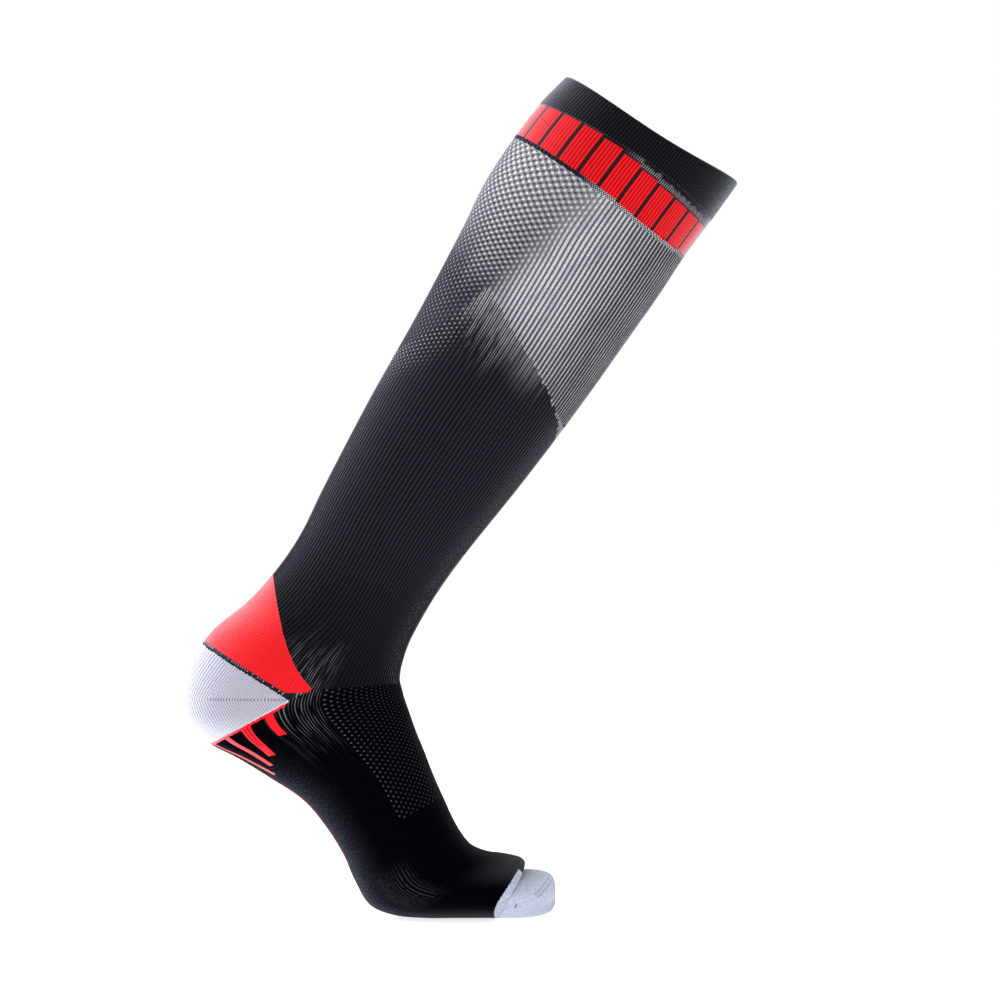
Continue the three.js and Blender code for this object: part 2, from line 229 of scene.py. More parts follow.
def net(rows, around, region=None, bows=None):
    """A stretch of the tube as squares, cut by a region of the side view.

    bows is how far each row is moved down the tube at the sides of the leg.
    Gives the points' (along, turn) and, for each face, its points and the turn at each of its corners."""
    bows = np.zeros(len(rows)) if bows is None else bows
    points = [(along + bow * math.sin(2 * math.pi * j / around) ** 2, j / around)
              for along, bow in zip(rows, bows) for j in range(around)]
    keep = np.ones(len(points))
    if region:
        grid = np.array(points)
        place = surface(grid[:, 0], grid[:, 1])
        keep = inside_by(place[:, 0], place[:, 2], region)
    faces, turns, made = [], [], {}
    for r in range(len(rows) - 1):
        for j in range(around):
            here, next_j = r * around, (j + 1) % around
            corners = (here + j, here + around + j, here + around + next_j, here + next_j)
            corner_turns = (j / around, j / around, (j + 1) / around, (j + 1) / around)
            stays = [keep[corner] > 0 for corner in corners]
            if not any(stays):
                continue
            face, face_turns = [], []
            for k in range(4):
                m = (k + 1) % 4
                a, b = corners[k], corners[m]
                if stays[k]:
                    face.append(a)
                    face_turns.append(corner_turns[k])
                if stays[k] != stays[m]:
                    t = keep[a] / (keep[a] - keep[b])
                    turn = corner_turns[k] + (corner_turns[m] - corner_turns[k]) * t
                    edge = (min(a, b), max(a, b))
                    if edge not in made:
                        made[edge] = len(points)
                        points.append((points[a][0] + (points[b][0] - points[a][0]) * t, turn))
                    face.append(made[edge])
                    face_turns.append(turn)
            faces.append(face)
            turns.append(face_turns)
    used = np.unique(np.concatenate(faces))
    place = np.full(len(points), -1)
    place[used] = np.arange(len(used))
    return np.array(points)[used], [[int(place[i]) for i in face] for face in faces], turns


def shell(name, cloth, lift, wall, node, knit=None, tip=False):
    """A closed wall of cloth. lift raises its outside, its inside lies wall under the plain form."""
    grid, faces, turns = cloth
    along, turn = grid[:, 0], grid[:, 1]
    normal = outward(along, turn)
    plain = surface(along, turn)
    outer = plain + normal * lift(along, turn)[:, None]
    inner = plain - normal * wall
    count = len(grid)
    if tip:
        last = [i for i in range(count) if along[i] == along.max()]
        faces = faces + [last]
        turns = turns + [[turn[i] for i in last]]
    sides = {(a, b) for face in faces for a, b in zip(face, face[1:] + face[:1])}
    rim = [[b, a, count + a, count + b] for a, b in sides if (b, a) not in sides]
    inside = [[count + i for i in reversed(face)] for face in faces]
    mesh = bpy.data.meshes.new(name)
    mesh.from_pydata((np.concatenate([outer, inner]) * MM).tolist(), [], faces + inside + rim)
    mesh.polygons.foreach_set("use_smooth", np.ones(len(mesh.polygons), bool))
    mesh.set_sharp_from_angle(angle=SHARP_EDGE)

    corners = np.concatenate(faces).astype(int)
    knit = knit or by_turn
    first = knit(along[corners], np.concatenate(turns), plain[corners])
    starts = np.cumsum([0] + [len(face) for face in faces])
    second = np.concatenate([first[a:b][::-1] for a, b in zip(starts, starts[1:])])
    by_point = np.zeros((count, 2))
    by_point[corners] = first
    third = by_point[np.array(rim).ravel() % count] if rim else np.zeros((0, 2))
    uv = mesh.uv_layers.new(name="knit")
    uv.data.foreach_set("uv", np.concatenate([first, second, third]).ravel())

    piece = bpy.data.objects.new(name, mesh)
    bpy.context.scene.collection.objects.link(piece)
    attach(piece, "root")
    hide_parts(node)
    return piece


def by_turn(along, turn, place):
    """Knit coordinates on the tube: the wale round it, and millimetres along it."""
    return np.stack([turn * WALES, along], axis=1)


def by_bowed_row(start, end, start_bow, end_bow):
    """Knit coordinates where the rows between start and end are bowed at the sides."""
    def knit(along, turn, place):
        side = np.sin(2 * np.pi * turn) ** 2
        slope = (end_bow - start_bow) / (end - start)
        row = (along - side * (start_bow - slope * start)) / (1 + side * slope)
        return np.stack([turn * WALES, row], axis=1)
    return knit


HEEL_ROUND = 34
HEEL_CENTRE = -228
HEEL_LEAN_UP = math.tan(math.radians(41))
HEEL_LEAN_DOWN = math.tan(math.radians(35))
HEEL_WALE = 1.75


def by_heel(along, turn, place):
    """Knit coordinates of the heel, whose wales lean forward from the mitre, up and down."""
    x, y, z = place.T
    rise = z - MITRE_Z
    foot = x - np.where(rise > 0, rise * HEEL_LEAN_UP, -rise * HEEL_LEAN_DOWN)
    past = foot - HEEL_CENTRE
    way = np.where(past > 0, past + HEEL_ROUND * np.pi / 2, HEEL_ROUND * np.arctan2(np.abs(y), -past))
    return np.stack([way / HEEL_WALE, rise], axis=1)


def steps(start, end, step):
    return np.linspace(start, end, max(2, round((end - start) / step) + 1))


def flush(along, turn):
    return np.zeros(len(along))


def ribs(along, turn):
    """Rounded ridges on the form, with grooves under it."""
    wave = 0.5 + 0.5 * np.cos(2 * np.pi * turn * RIBS)
    return -RIB_HEIGHT * (1 - wave ** RIB_ROUND)


def fine_wales(along, turn):
    wave = 0.5 + 0.5 * np.cos(2 * np.pi * turn * BLOCKS * BLOCK_WALES)
    return -FINE_HEIGHT * (1 - wave)


def welt_lift(along, turn):
    """The cuff stands out a little, and its fold is rounded over at the top."""
    bulge = (WELT_WALL + WELT_PROUD) / 2
    edge = CUFF_DIP * np.sin(2 * np.pi * turn) ** 2
    inward = np.clip(1 - (along - edge) / bulge, 0, 1)
    return WELT_PROUD + fine_wales(along, turn) - bulge * (1 - np.sqrt(1 - inward ** 2))


AROUND = 4 * RIBS
FINE_AROUND = 4 * BLOCKS * BLOCK_WALES
calf_region = CALF_EDGE[::-1] + [(LEFT, TOP), (RIGHT, TOP)]
leg_region = CALF_EDGE + ANKLE_EDGE[:0:-1] + PATCH_EDGE[-2::-1]
patch_region = PATCH_EDGE + [HEEL_CORNER, HEEL_TOP_END, (LEFT, PATCH_EDGE[0][1])]
heel_region = [HEEL_TOP_END, HEEL_UNDER_END, HEEL_CORNER]
foot_region = ANKLE_EDGE + [(RIGHT, BOTTOM), (LEFT, BOTTOM), HEEL_UNDER_END]

# Distances between the rows of each net
WELT_STEP = 2.5
BAND_STEP = 2.2
RIB_STEP = 2.9
HEEL_STEP = 1.8
FOOT_STEP = 2.4
LIP_STEP = 1.0
TOE_EVEN = 0.6  # the share of the toe with even rows, before they crowd towards its tip

fold_rows = np.array([0, 0.1, 0.3, 0.6, 0.95, 1.35])
welt_rows = np.concatenate([fold_rows, steps(WELT_STEP, at("welt_foot"), WELT_STEP)])
welt_bows = CUFF_DIP - (CUFF_DIP + BAND_RISE) * welt_rows / at("welt_foot")
band_rows = steps(at("welt_foot"), at("band_foot"), BAND_STEP)
band_bows = -BAND_RISE * (at("band_foot") - band_rows) / (at("band_foot") - at("welt_foot"))
calf_rows = steps(at("band_foot"), at("shin") + 12, RIB_STEP)
leg_rows = steps(at("calf"), at("heel_under"), RIB_STEP)
heel_rows = steps(at("ankle_top"), at("arch_back"), HEEL_STEP)
vamp_rows = steps(at("heel_upper"), at("vamp_end"), FOOT_STEP)
lip_rows = steps(at("vamp_end"), TOE_SEAM, LIP_STEP)
foot_rows = np.concatenate([vamp_rows, lip_rows[1:]])
blunt = np.sin(np.linspace(math.asin(TOE_EVEN ** 2), math.radians(89.95), 18)) ** 0.5
toe_rows = TOE_SEAM + TOE_LENGTH * np.concatenate([np.linspace(0, TOE_EVEN, 12), blunt[1:]])

welt_knit = by_bowed_row(0, at("welt_foot"), CUFF_DIP, -BAND_RISE)
band_knit = by_bowed_row(at("welt_foot"), at("band_foot"), -BAND_RISE, 0)

pieces = {
    "welt": shell("cuff_welt", net(welt_rows, FINE_AROUND, bows=welt_bows), welt_lift, WELT_WALL,
                  "welt", knit=welt_knit),
    "band": shell("block_band_knit", net(band_rows, FINE_AROUND, bows=band_bows), fine_wales, WALL,
                  "block_band", knit=band_knit),
    "calf": shell("calf_knit", net(calf_rows, AROUND, calf_region), ribs, WALL + RIB_HEIGHT,
                  "calf"),
    "leg": shell("lower_leg_knit", net(leg_rows, AROUND, leg_region), ribs, WALL + RIB_HEIGHT,
                 "lower_leg"),
    "patch": shell("tendon_patch_knit", net(heel_rows, WALES, patch_region), flush, WALL,
                   "tendon_patch"),
    "heel": shell("heel_pocket_knit", net(heel_rows, WALES, heel_region), flush, WALL,
                  "heel_pocket", knit=by_heel),
    "foot": shell("foot_knit", net(foot_rows, WALES, foot_region), flush, WALL, "foot"),
    "toe": shell("toe_pocket_knit", net(toe_rows, WALES), flush, WALL, "toe_pocket",
                 tip=True),
}


# Materials

SHEEN_TINT = (0.84, 0.88, 1, 1)


class Number:
    """A number inside a material, so that a pattern is written as a plain sum."""

    def __init__(self, tree, socket):
        self.tree = tree
        self.socket = socket

    def math(self, operation, *others):
        node = self.tree.nodes.new("ShaderNodeMath")
        node.operation = operation
        for place, value in zip(node.inputs, (self,) + others):
            if isinstance(value, Number):
                self.tree.links.new(value.socket, place)
            else:
                place.default_value = value
        return Number(self.tree, node.outputs[0])

    def __add__(self, other):
        return self.math("ADD", other)

    def __sub__(self, other):
        return self.math("SUBTRACT", other)

    def __mul__(self, other):
        return self.math("MULTIPLY", other)

    def __rsub__(self, other):
        return self.math("MULTIPLY", -1).math("ADD", other)

    __radd__ = __add__
    __rmul__ = __mul__

    def floor(self):
        return self.math("FLOOR")

    def part(self):
        return self.math("FRACT")

    def size(self):
        return self.math("ABSOLUTE")

    def most(self, other):
        return self.math("MAXIMUM", other)

    def wave(self, period):
        """1 at every multiple of the period and 0 halfway between them."""
        return self.math("MULTIPLY", 2 * math.pi / period).math("COSINE") * 0.5 + 0.5

    def above(self, low, high):
        """0 under low, 1 over high, and smooth between them."""
        node = self.tree.nodes.new("ShaderNodeMapRange")
        node.interpolation_type = "SMOOTHSTEP"
        self.tree.links.new(self.socket, node.inputs["Value"])
        for name, value in (("From Min", low), ("From Max", high)):
            if isinstance(value, Number):
                self.tree.links.new(value.socket, node.inputs[name])
            else:
                node.inputs[name].default_value = value
        return Number(self.tree, node.outputs["Result"])

    def under(self, low, high):
        return 1 - self.above(low, high)

    def within(self, low, high, soft=0.2):
        return self.above(low - soft, low + soft) * self.under(high - soft, high + soft)


def linear(colour):
    """A screen colour, 0 to 255, as light."""
    return [((c / 255 + 0.055) / 1.055) ** 2.4 if c > 10 else c / 255 / 12.92 for c in colour] + [1]


class Knit:
    """A cloth material: its knit coordinates, its place in millimetres, and one shader to set."""

    def __init__(self, name, roughness=0.9, sheen=0.1, sheen_roughness=0.5, specular=0.1):
        self.material = bpy.data.materials.new(name)
        self.material.use_nodes = True
        self.tree = self.material.node_tree
        self.shader = self.tree.nodes["Principled BSDF"]
        self.shader.inputs["Roughness"].default_value = roughness
        self.shader.inputs["Specular IOR Level"].default_value = specular
        self.shader.inputs["Sheen Weight"].default_value = sheen
        self.shader.inputs["Sheen Roughness"].default_value = sheen_roughness
        self.shader.inputs["Sheen Tint"].default_value = SHEEN_TINT
        uv = self.tree.nodes.new("ShaderNodeUVMap")
        uv.uv_map = "knit"
        self.wale, self.along = self.split(uv.outputs["UV"])[:2]
        self.side = RIBS - (self.wale - RIBS).size()
        place = self.tree.nodes.new("ShaderNodeTexCoord")
        self.x, self.y, self.z = [value * (1 / MM) for value in self.split(place.outputs["Object"])]

    def split(self, socket):
        node = self.tree.nodes.new("ShaderNodeSeparateXYZ")
        self.tree.links.new(socket, node.inputs[0])
        return [Number(self.tree, output) for output in node.outputs]

    def joined(self, x, y, z=0):
        node = self.tree.nodes.new("ShaderNodeCombineXYZ")
        for place, value in zip(node.inputs, (x, y, z)):
            if isinstance(value, Number):
                self.tree.links.new(value.socket, place)
            else:
                place.default_value = value
        return node.outputs[0]

    def noise(self, x, y, z=0, detail=1.0):
        """Soft noise from 0 to 1 with a grain of about one unit."""
        node = self.tree.nodes.new("ShaderNodeTexNoise")
        node.inputs["Scale"].default_value = 1
        node.inputs["Detail"].default_value = detail
        self.tree.links.new(self.joined(x, y, z), node.inputs["Vector"])
        return Number(self.tree, node.outputs["Fac"])

    def chance(self, x, y=0):
        """A number from 0 to 1 that is the same all over one cell."""
        node = self.tree.nodes.new("ShaderNodeTexWhiteNoise")
        node.noise_dimensions = "2D"
        self.tree.links.new(self.joined(x, y), node.inputs["Vector"])
        return Number(self.tree, node.outputs["Value"])

    def mix(self, share, a, b):
        """Colour a where share is 0 and b where it is 1."""
        node = self.tree.nodes.new("ShaderNodeMix")
        node.data_type = "RGBA"
        self.tree.links.new(share.socket, node.inputs["Factor"])
        for place, colour in ((node.inputs[6], a), (node.inputs[7], b)):
            if isinstance(colour, (tuple, list)):
                place.default_value = linear(colour)
            else:
                self.tree.links.new(colour, place)
        return node.outputs[2]

    def finish(self, colour, height=None, depth=0.3):
        """Sets the colour and, where given, a relief of so many millimetres."""
        self.tree.links.new(colour, self.shader.inputs["Base Color"])
        if height is not None:
            bump = self.tree.nodes.new("ShaderNodeBump")
            bump.inputs["Strength"].default_value = 1
            bump.inputs["Distance"].default_value = depth * MM
            self.tree.links.new(height.socket, bump.inputs["Height"])
            self.tree.links.new(bump.outputs["Normal"], self.shader.inputs["Normal"])
        return self.material

    def line_distance(self, start, end):
        """Millimetres from a line of the side view, positive on its left as it runs from start to end."""
        dx, dz = end[0] - start[0], end[1] - start[1]
        length = math.hypot(dx, dz)
        return (self.z - start[1]) * (dx / length) - (self.x - start[0]) * (dz / length)


def stitches(k, rows):
    """1 on the stitches and 0 between them, half a stitch further on at every wale."""
    return (k.along * rows + k.wale * 0.5).wave(1)


def welt_stitches(k, fine):
    return (k.along + fine * 0.5).wave(1.1)


def welt_cloth(k, fine):
    # The grooves between the fine wales are painted darker, as painted shade
    groove = 1 - fine.wave(1)
    share = groove.above(0.15, 0.8) * (0.8 + 0.2 * welt_stitches(k, fine))
    return k.mix(share, (27, 26, 33), (3, 3, 6))


def welt_material():
    k = Knit("black_welt_knit", sheen=1.0, sheen_roughness=0.33, specular=0.03)
    fine = k.wale * FINE_WALES
    height = welt_stitches(k, fine) * 0.4 + fine.wave(1) * 0.6
    return k.finish(welt_cloth(k, fine), height, 0.12)


def red_blocks(k):
    """The colour of the red blocks and the dark lines between them, and where round the leg each block is."""
    fine = k.wale * FINE_WALES
    place = (fine - FIRST_BLOCK) * (1 / BLOCK_WALES)
    divider = (place.part() * BLOCK_WALES).under(1.0, 1.15)
    stitch = (k.along * LEG_ROWS + fine.floor() * 0.5).wave(1)
    groove = 1 - (fine - 0.5).wave(1)
    red = k.mix(stitch * 0.35, (236, 16, 26), (255, 48, 54))
    # The grooves between the wales are painted dark red, as painted shade
    red = k.mix(groove.above(0.4, 0.95) * (0.6 + 0.4 * stitch), red, (108, 6, 12))
    dark = k.mix(k.along.wave(1.7) * 0.5, (24, 16, 20), (60, 38, 42))
    middle = ((place.floor() + 0.5) * BLOCK_WALES + FIRST_BLOCK) * (1 / FINE_WALES)
    return k.mix(divider, red, dark), RIBS - (middle - RIBS).size()


def band_material():
    k = Knit("block_band_knit", sheen=1.0, sheen_roughness=0.36, specular=0.03)
    fine = k.wale * FINE_WALES
    blocks, middle = red_blocks(k)
    # The blocks end in steps, lower at the front, under a row of light stitches
    rise = 0.6 + 5.4 * middle.above(34, 84) + at("welt_foot") - k.along
    colour = k.mix(rise.above(-0.15, 0.15), blocks, welt_cloth(k, fine))
    long = 2.2 + 1.4 * k.chance(k.wale.floor())
    ticks = k.wale.wave(1).above(0.4, 0.85) * rise.above(0.5, 0.8) * rise.under(long, long + 0.4)
    ticks = ticks * (0.35 + 0.65 * (rise + k.wale.floor() * 0.7).wave(1.4))
    colour = k.mix(ticks * k.side.above(52, 64) * k.side.under(104, 112), colour, (154, 154, 160))
    return k.finish(colour, (fine - 0.5).wave(1) * 0.6, 0.18)


# Rows of the open knit in a millimetre at the band, and how they crowd further down
BOARD_ROWS = 0.238
BOARD_CROWD = 0.00043


def chessboard(k, down):
    """The open knit, from -1 in its gaps to 1 on its light stitches, and the fine stitches over it."""
    rows = down * BOARD_ROWS + down * down * BOARD_CROWD
    board = (k.wale.wave(4) * 2 - 1) * (rows.wave(1) * 2 - 1)
    return board, (rows * 4 + k.wale * 0.5).wave(1)


# The open knit ends this far round the leg at the band, and a wale further back every few millimetres
OPEN_SIDE = 58.5
OPEN_FALL = 4.7
TIP_BLACK = (-165, -163.5)  # heights between which the tip at the front turns black


def calf_material():
    k = Knit("grey_rib_knit", sheen=0.45, sheen_roughness=0.3, specular=0.04)
    rib = k.wale * 0.5
    down = k.along - at("band_foot")
    groove = 1 - rib.wave(1)
    stitch = stitches(k, LEG_ROWS)
    # Ribs, light with their grooves painted dark as shade, deeper towards the front and low down
    front = k.side.above(56, 98).most(down.above(66, 128) * k.side.above(30, 52))
    worn = k.noise(rib * 0.3, k.along * 0.04, 3).above(0.42, 0.75)
    grain = k.noise(k.wale * 1.5, k.along * 1.2, 7, 2).above(0.4, 0.62)
    light = k.mix(stitch * 0.6 + grain * 0.4, (150, 150, 157), (234, 234, 240))
    light = k.mix(front * 0.25 + down.above(66, 128) * 0.25 + worn * 0.3, light, (106, 108, 120))
    deep = k.mix(front, (70, 71, 80), (0, 0, 4))
    share = groove.above(0.3 - 0.3 * front, 0.9 - 0.66 * front)
    ribbed = k.mix(share * (0.8 + 0.2 * stitch), light, deep)
    # Open knit at the back: light stitches and gaps by turns, as on a chessboard
    board, fine = chessboard(k, down)
    # Further back the open knit reaches further down, and there its colours are painted lighter as a painted
    # rim highlight
    back_and_rim_light = (k.side - 0.2 * down).under(4, 16).most(down.above(54, 94))
    low_down = down.above(4, 60) * (1 - back_and_rim_light) + down.above(26, 84) * back_and_rim_light
    bits = fine * 0.5 + grain * 0.5
    ground = k.mix(back_and_rim_light, k.mix(bits, (84, 84, 92), (172, 171, 176)),
                   k.mix(bits, (70, 70, 80), (142, 142, 150)))
    ground = k.mix(low_down * (0.55 + 0.45 * back_and_rim_light), ground, k.mix(bits, (24, 24, 34), (54, 54, 64)))
    gap = k.mix(low_down, (66, 66, 74), (28, 28, 38))
    spot = k.mix(back_and_rim_light, k.mix(low_down, (240, 240, 243), (204, 204, 208)),
                 k.mix(low_down, (234, 234, 239), (128, 128, 140)))
    open_knit = k.mix(board.under(-0.75, -0.25), ground, gap)
    bright = board.above(0.28 + 0.12 * back_and_rim_light, 0.85 + 0.1 * back_and_rim_light) * (0.5 + 0.5 * bits)
    # Towards the black leg only the light stitches are left
    close = k.line_distance(CALF_EDGE[1], CALF_EDGE[0]).above(-15, 0) * k.side.under(30, 50)
    open_knit = k.mix(close * 0.75, open_knit, (40, 40, 48))
    open_knit = k.mix(bright * (1 - 0.45 * close), open_knit, spot)
    border = k.side + down * (1 / OPEN_FALL) - OPEN_SIDE
    colour = k.mix(border.above(-8, 7), open_knit, ribbed)
    # The lowest end of the tip at the front is black already, its grooves painted darker as shade
    colour = k.mix(k.z.under(*TIP_BLACK), colour, k.mix(groove.above(0.3, 0.9), (38, 38, 46), (11, 11, 16)))
    # The blocks come down further at the front, and a dark line with light stitches closes them off
    blocks, middle = red_blocks(k)
    low = 1.8 * middle.above(52, 78) * middle.under(92, 108)
    checks = (k.wale.wave(1) * 2 - 1) * (down.wave(2.3) * 2 - 1)
    checks = k.mix(checks.above(0, 0.4) * k.side.above(44, 58), (32, 30, 38), (210, 210, 216))
    colour = k.mix(down.under(low + 2.2, low + 2.5), colour, checks)
    colour = k.mix(down.under(low - 0.1, low + 0.1), colour, blocks)
    height = board.above(0.2, 0.8) * border.under(-3, 3) - groove.above(0.5, 1.0) * 0.5 + stitch * 0.25
    return k.finish(colour, height, 0.3)


def threads(k, long, worn=1):
    """Thin light threads in the grooves between the wales: whole where worn is 0, broken up where it is 1."""
    line = (k.wale.part() - 0.5).size().under(0.0, 0.22)
    loss = 0.15 * worn
    return line * k.noise(k.wale.floor() * 5.3, k.along * (1 / long)).above(0.22 + loss, 0.48 + loss)


def ragged_end(k):
    """How much later each wale's thread ends, up to 20 mm."""
    return k.chance(k.wale.floor(), 7) * 20


# The grey ends this far below the band at the back, and this much further down with every wale to the front
PEAK_START = 53.7
PEAK_FALL = 0.68


def leg_material():
    k = Knit("black_rib_knit", sheen=0.9, sheen_roughness=0.3, specular=0.03)
    rib = k.wale * 0.5
    groove = 1 - rib.wave(1)
    stitch = stitches(k, LEG_ROWS)
    down = k.along - at("band_foot")
    rise = at("heel_point") - k.along
    # Charcoal, painted darker towards the ankle as painted shade, and a little lighter under the peak of the
    # grey
    dark = k.mix(stitch * 0.4, (30, 30, 38), (50, 50, 60))
    # The grooves are painted darker, as painted shade
    dark = k.mix(groove.above(0.3, 0.9), dark, (11, 11, 16))
    dark = k.mix(rise.under(0, 120) * 0.75, dark, (8, 8, 12))
    past = down - PEAK_FALL * k.side - PEAK_START
    glow = past.under(0, 26) * k.side.within(32, 74, 8)
    dark = k.mix(glow * 0.6, dark, k.mix(groove, (116, 115, 122), (46, 45, 52)))
    # The open knit's light stitches fade out a little way into the black
    board, fine = chessboard(k, down)
    spill = k.line_distance(CALF_EDGE[1], CALF_EDGE[0]).under(0, 20) * k.side.under(30, 46)
    dark = k.mix(spill * board.above(0.3, 0.9) * (0.4 + 0.4 * fine), dark, (158, 158, 166))
    # The grey zone ends at another stitch on each rib, with its grooves painted dark as shade
    step = k.chance((rib + 0.5).floor()) * 2.4
    light = k.mix(groove.above(0.3, 0.9), (150, 150, 158), (30, 30, 40))
    dark = k.mix(past.under(step, step + 0.4) * k.side.above(36, 38), dark, light)
    # Light threads show through under the peak of the grey, and over the ankle bone
    end = ragged_end(k)
    under_peak = down.under(80 + end, 112 + end) * k.side.within(32, 84, 5)
    bone = rise.under(6 + end, 32 + end) * k.side.within(48, 70, 5)
    light = k.mix(past.under(0, 34), (158, 157, 160), (196, 194, 196))
    colour = k.mix((under_peak * 0.85).most(bone * 0.5) * threads(k, 13, past.above(0, 34)), dark, light)
    return k.finish(colour, stitch * 0.15 - groove * 0.5, 0.1)


WEDGE_EDGE = (-315.6, -315.0)  # heights between which the patch turns into its dark lower end


def patch_material():
    k = Knit("red_plain_knit", sheen=1.0, sheen_roughness=0.42, specular=0.03)
    stitch = stitches(k, PATCH_ROWS)
    wale = k.wale.wave(1)
    red = k.mix(stitch * 0.6 + wale * 0.3, (252, 32, 40), (198, 10, 18))
    heel = k.line_distance(HEEL_CORNER, HEEL_TOP_END).size()
    wedge = k.z.under(*WEDGE_EDGE)
    seam = heel.under(1.4, 1.8).most(wedge)
    tick = (k.wale * 0.8).part().above(0.5, 0.7) * k.chance((k.wale * 0.8).floor()).above(0.4, 0.5)
    outline = k.mix(tick * heel.within(0.4, 1.2).most(wedge * 0.8), (24, 22, 28), (140, 136, 140))
    return k.finish(k.mix(seam, red, outline), stitch * 0.5 + wale * 0.5, 0.2)


def heel_grey(k):
    wale = k.wale.wave(1)
    stitch = stitches(k, FOOT_ROWS)
    under = k.along.under(-26, -6)
    light = k.mix(under, (189, 190, 206), (220, 222, 239))
    deep = k.mix(under, (140, 139, 155), (182, 182, 198))
    # Between the wales the grey is painted darker, as painted shade
    return k.mix(wale.under(0.1, 0.7) * (0.6 + 0.4 * stitch), light, deep)


def heel_material():
    k = Knit("heel_grey_knit", sheen=0.3, sheen_roughness=0.35, specular=0.04)
    grey = heel_grey(k)
    fold = k.along.size().under(0.5, 0.9) * (k.wale * 0.9).wave(1).above(0.3, 0.7) * k.x.above(-252, -246)
    grey = k.mix(fold * 0.7, grey, (104, 104, 116))
    upper = k.line_distance(HEEL_CORNER, HEEL_TOP_END).size()
    rough = k.chance((k.wale * 2).floor()) * 0.7
    colour = k.mix(upper.under(0.4 + rough, 0.7 + rough), grey, (28, 26, 32))
    return k.finish(colour, k.wale.wave(1) * 0.7 + stitches(k, FOOT_ROWS) * 0.3, 0.25)


# The red bars under the heel: where round the foot each starts, how far it drifts in a millimetre,
# half its width in wales, how far past the heel it ends, and whether it is split
BAR_COLUMNS = "start drift half end split".split()
BARS = [
    (55.4, 0.0, 1.45, 22.8, 0),
    (47.4, -0.19, 2.35, 34.2, 1),
    (30.7, 0.04, 1.8, 40.0, 0),
    (7.3, 0.37, 1.7, 45.6, 1),
]


# The dotted panel on the instep: its edge in wales round the foot, its end in millimetres past the heel,
# and how far apart its dots are
PANEL_SIDE = 71
PANEL_END = 96.2
DOTS_ACROSS = 2.4
DOTS_DOWN = 3.3


def foot_material():
    k = Knit("black_plain_knit", sheen=0.12, sheen_roughness=0.25, specular=0.0)
    stitch = stitches(k, FOOT_ROWS)
    wale = k.wale.wave(1)
    past = k.along - at("heel_point")
    speck = k.noise(k.wale * 1.3, k.along * 0.9, 5, 2).above(0.42, 0.66)
    # Towards the sole the black is painted a speckled blue-grey, as a painted sheen
    sole = k.side.under(14, 58) * past.above(20, 60)
    black = k.mix(stitch * 0.3 + wale * 0.3 + speck * 0.4, (0, 0, 1), (10, 11, 16))
    black = k.mix(sole * (0.08 + 0.6 * speck), black, (70, 75, 88))
    # Over the lobe of the toes the black is painted lighter blue-grey, as a painted sheen
    lip = past.above(140, 172) * k.side.above(66, 94)
    black = k.mix(lip * (0.2 + 0.35 * speck), black, (88, 92, 102))
    # Dots on the instep
    column = (k.side - PANEL_SIDE) * (1 / DOTS_ACROSS)
    row = past * (1 / DOTS_DOWN) + column.floor() * 0.5
    across = (column.part() - 0.5) * DOTS_ACROSS
    down = (row.part() - 0.5) * DOTS_DOWN
    dot = (across * across + down * down).under(0.05, 0.45)
    panel = k.side.above(PANEL_SIDE - 0.1, PANEL_SIDE + 0.1) * past.under(PANEL_END - 0.1, PANEL_END + 0.1)
    fade = k.side.under(72, 80) * 0.45 + 0.4
    colour = k.mix(dot * panel * fade, black, (88, 90, 96))
    # Light threads that run with the knit under the ankle bone and over the ball
    end = ragged_end(k)
    bone = (past.under(0, 34) * 0.6 + 0.3) * past.under(14 + end, 44 + end) * k.side.within(54, 70, 2)
    ball = past.within(120, 146, 7) * k.side.within(43, 64, 4)
    runs = k.noise(k.wale.floor(), k.along * 0.3, 9).above(0.3, 0.5)
    arcs = (k.wale * 0.6).part().within(0.3, 0.6, 0.14) * runs
    colour = k.mix((bone * 0.65 * threads(k, 15)).most(ball * 0.1 * arcs), colour, (150, 151, 155))
    # Red bars hang from a red line under the heel, and a stripe runs under the arch
    red = k.side.within(5, 12, 0.5) * past.within(52, 106, 0.5)
    for bar in BARS:
        b = dict(zip(BAR_COLUMNS, bar))
        middle = (k.side - b["start"] - b["drift"] * past).size()
        solid = middle.under(b["half"] - 0.15, b["half"] + 0.15) * past.under(b["end"] - 0.3, b["end"] + 0.3)
        if b["split"]:
            line = (middle - b["half"] * 0.35).size().under(0.1, 0.4)
            solid = solid * (1 - 0.8 * line * past.under(b["end"] - 8, b["end"] - 6))
        red = red.most(solid)
    edge = k.line_distance(HEEL_CORNER, HEEL_UNDER_END).size() + k.x.above(-203.5, -202.5) * 9
    rough = k.chance((k.wale * 2).floor()) * 0.4
    red = red.most(edge.under(2.0 + rough, 2.2 + rough) * k.x.under(-205.5, -204.5))
    # The red is painted pinker towards the sole, as a painted sheen
    colour = k.mix(red, colour, k.mix(k.side.under(16, 48) * 0.6, (250, 34, 44), (255, 150, 164)))
    colour = k.mix(edge.under(0.5 + rough, 0.9 + rough), colour, (196, 196, 212))
    # The grey of the toe starts a little before the seam at the side, painted darker than the toe's own grey
    # as painted shade
    before = at("toe_seam") - k.along - 1.5 - 6.2 * k.side.above(0, 66)
    grey = toe_grey(k, (205, 210, 229), (163, 170, 191))
    colour = k.mix(before.under(rough, 0.3 + rough) * k.side.under(94, 95), colour, grey)
    return k.finish(colour, stitch * 0.4 + wale * 0.4 + dot * panel, 0.2)


def toe_grey(k, light, deep):
    grain = k.noise(k.x, k.y, k.z, 2).above(0.3, 0.7)
    stitch = stitches(k, FOOT_ROWS)
    return k.mix(stitch * 0.3 + grain * 0.7, light, deep)


# Lines and a point of the toe in the side view: along the gore, across its end, and the pucker's painted
# shadow
GORE_LINE = ((-66.1, -428.4), (-57.6, -420.5))
GORE_END = ((-52.4, -432.8), (-68.2, -415.8))
PUCKER = (-75.5, -434.1)


